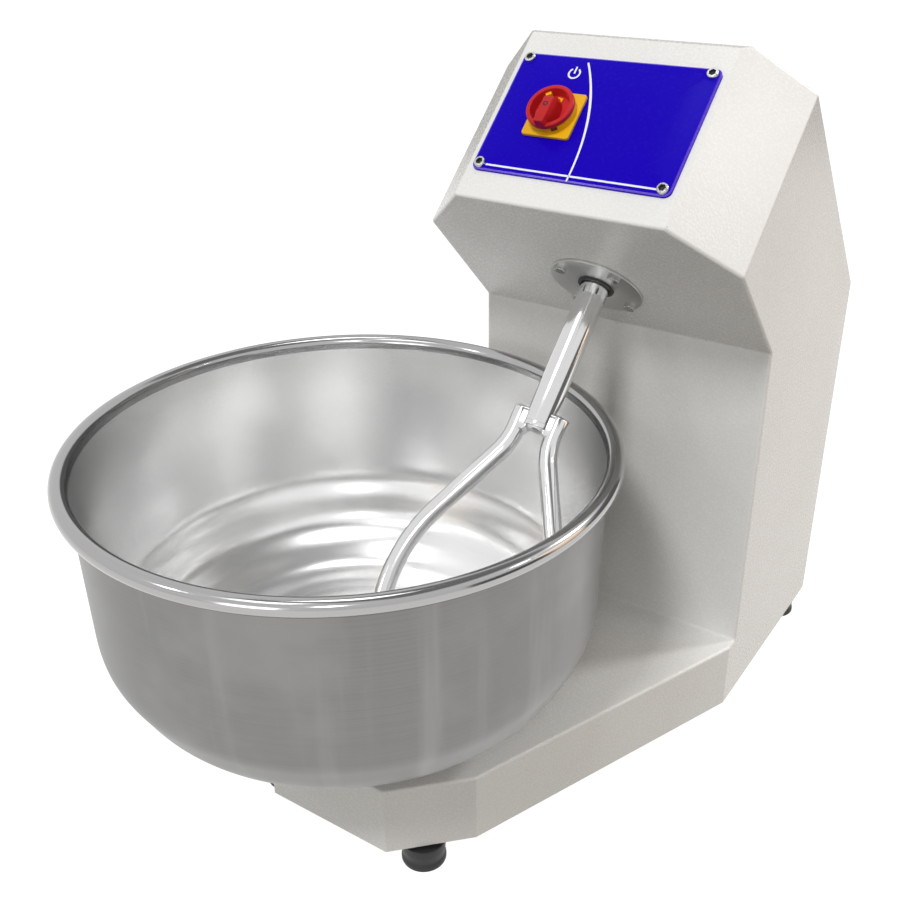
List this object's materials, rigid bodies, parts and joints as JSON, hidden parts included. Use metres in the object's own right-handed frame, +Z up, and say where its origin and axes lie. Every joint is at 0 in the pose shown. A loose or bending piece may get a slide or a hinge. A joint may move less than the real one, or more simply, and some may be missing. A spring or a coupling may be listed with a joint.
{
  "type": "dough mixer",
  "caption": "Free-standing fork dough mixer: a leaning sheet-metal head on a column turns an inclined fork in a round-bottomed, rolled-rim bowl that spins on a low base.",
  "frame": {"origin": "on the floor, under the middle of the whole machine's bounding box", "axes": "+Z up, -Y towards the front (the bowl and the head's sloping face), +X to the right of a person facing the front"},
  "size_m": [0.5529, 0.825, 0.7178],
  "materials": {
    "powder_coat": "fine-textured off-white powder coat",
    "galvanised": "plain galvanised sheet",
    "zinc": "zinc-plated fasteners",
    "foot_rubber": "black moulded rubber",
    "panel_blue": "glossy deep blue with white print",
    "switch_yellow": "moulded yellow",
    "switch_red": "moulded red",
    "black_plastic": "moulded black",
    "bowl_steel": "spun stainless, satin outside, bright inside and on the rim",
    "polished_steel": "polished stainless",
    "flange_steel": "turned steel, dull",
    "machined_steel": "machined steel",
    "cast_iron": "grey casting",
    "motor_paint": "blue-grey machine enamel",
    "belt_rubber": "black belt rubber"
  },
  "bodies": {
    "machine": {"housing": "powder_coat", "rear_cover": "powder_coat", "bottom_plate": "galvanised", "motor_bracket": "galvanised", "spindle_stiffener": "galvanised", "bottom_plate_screws": "zinc", "rear_cover_screws": "zinc", "panel_screws": "zinc", "flange_bolts": "zinc", "gearcase_bolts": "zinc", "motor_bolts": "zinc", "bracket_bolts": "zinc", "spindle_bolts": "zinc", "foot_studs": "zinc", "foot_nuts": "zinc", "foot_front_right": "foot_rubber", "foot_front_left": "foot_rubber", "foot_rear_right": "foot_rubber", "foot_rear_left": "foot_rubber", "control_panel": "panel_blue", "switch_plate": "switch_yellow", "switch_body": "black_plastic", "cable_gland": "black_plastic", "motor_terminal_box": "black_plastic", "shaft_seal": "black_plastic", "shaft_flange": "flange_steel", "lower_bearing": "machined_steel", "upper_bearing": "machined_steel", "pinion_bearings": "machined_steel", "spindle_bearings": "machined_steel", "gearcase": "cast_iron", "gearcase_cover": "cast_iron", "spindle_housing": "cast_iron", "motor_stator": "motor_paint", "motor_front_shield": "motor_paint", "motor_rear_shield": "motor_paint", "motor_fan_cover": "motor_paint", "v_belt": "belt_rubber"},
    "fork": {"fork_shaft": "polished_steel", "fork_yoke": "polished_steel", "fork_tine_left": "polished_steel", "fork_tine_right": "polished_steel", "bevel_gear": "machined_steel"},
    "pinion": {"pinion_shaft": "machined_steel", "bevel_pinion": "machined_steel", "driven_pulley": "cast_iron"},
    "rotor": {"motor_rotor": "machined_steel", "motor_pulley": "cast_iron", "motor_fan": "black_plastic"},
    "bowl_set": {"bowl": "bowl_steel", "bowl_hub": "bowl_steel", "bowl_spindle": "machined_steel", "spindle_nut": "zinc"},
    "main_switch": {"switch_handle": "switch_red", "switch_shaft": "machined_steel", "switch_screw": "zinc"}
  },
  "joints": [
    {"name": "fork_spin", "type": "hinge", "parent": "machine", "child": "fork", "pos_m": [0.1165, 0.0797, 0.50032], "axis": [0, -0.7165, -0.6976], "continuous": true},
    {"name": "pinion_spin", "type": "hinge", "parent": "machine", "child": "pinion", "pos_m": [0.1165, 0.15278, 0.57147], "axis": [1, 0, 0], "continuous": true},
    {"name": "motor_spin", "type": "hinge", "parent": "machine", "child": "rotor", "pos_m": [0.1165, 0.2855, 0.16], "axis": [1, 0, 0], "continuous": true},
    {"name": "bowl_spin", "type": "hinge", "parent": "machine", "child": "bowl_set", "pos_m": [-0.0185, -0.1545, 0.1], "axis": [0, 0, 1], "continuous": true},
    {"name": "switch_turn", "type": "hinge", "parent": "machine", "child": "main_switch", "pos_m": [0.0785, 0.05561, 0.65846], "axis": [0, -0.6691, 0.7431], "range_deg": [-90, 0]}
  ],
  "couplings": [
    {"joint": "pinion_spin", "follows": "fork_spin", "ratio": -6},
    {"joint": "motor_spin", "follows": "fork_spin", "ratio": -12}
  ]
}
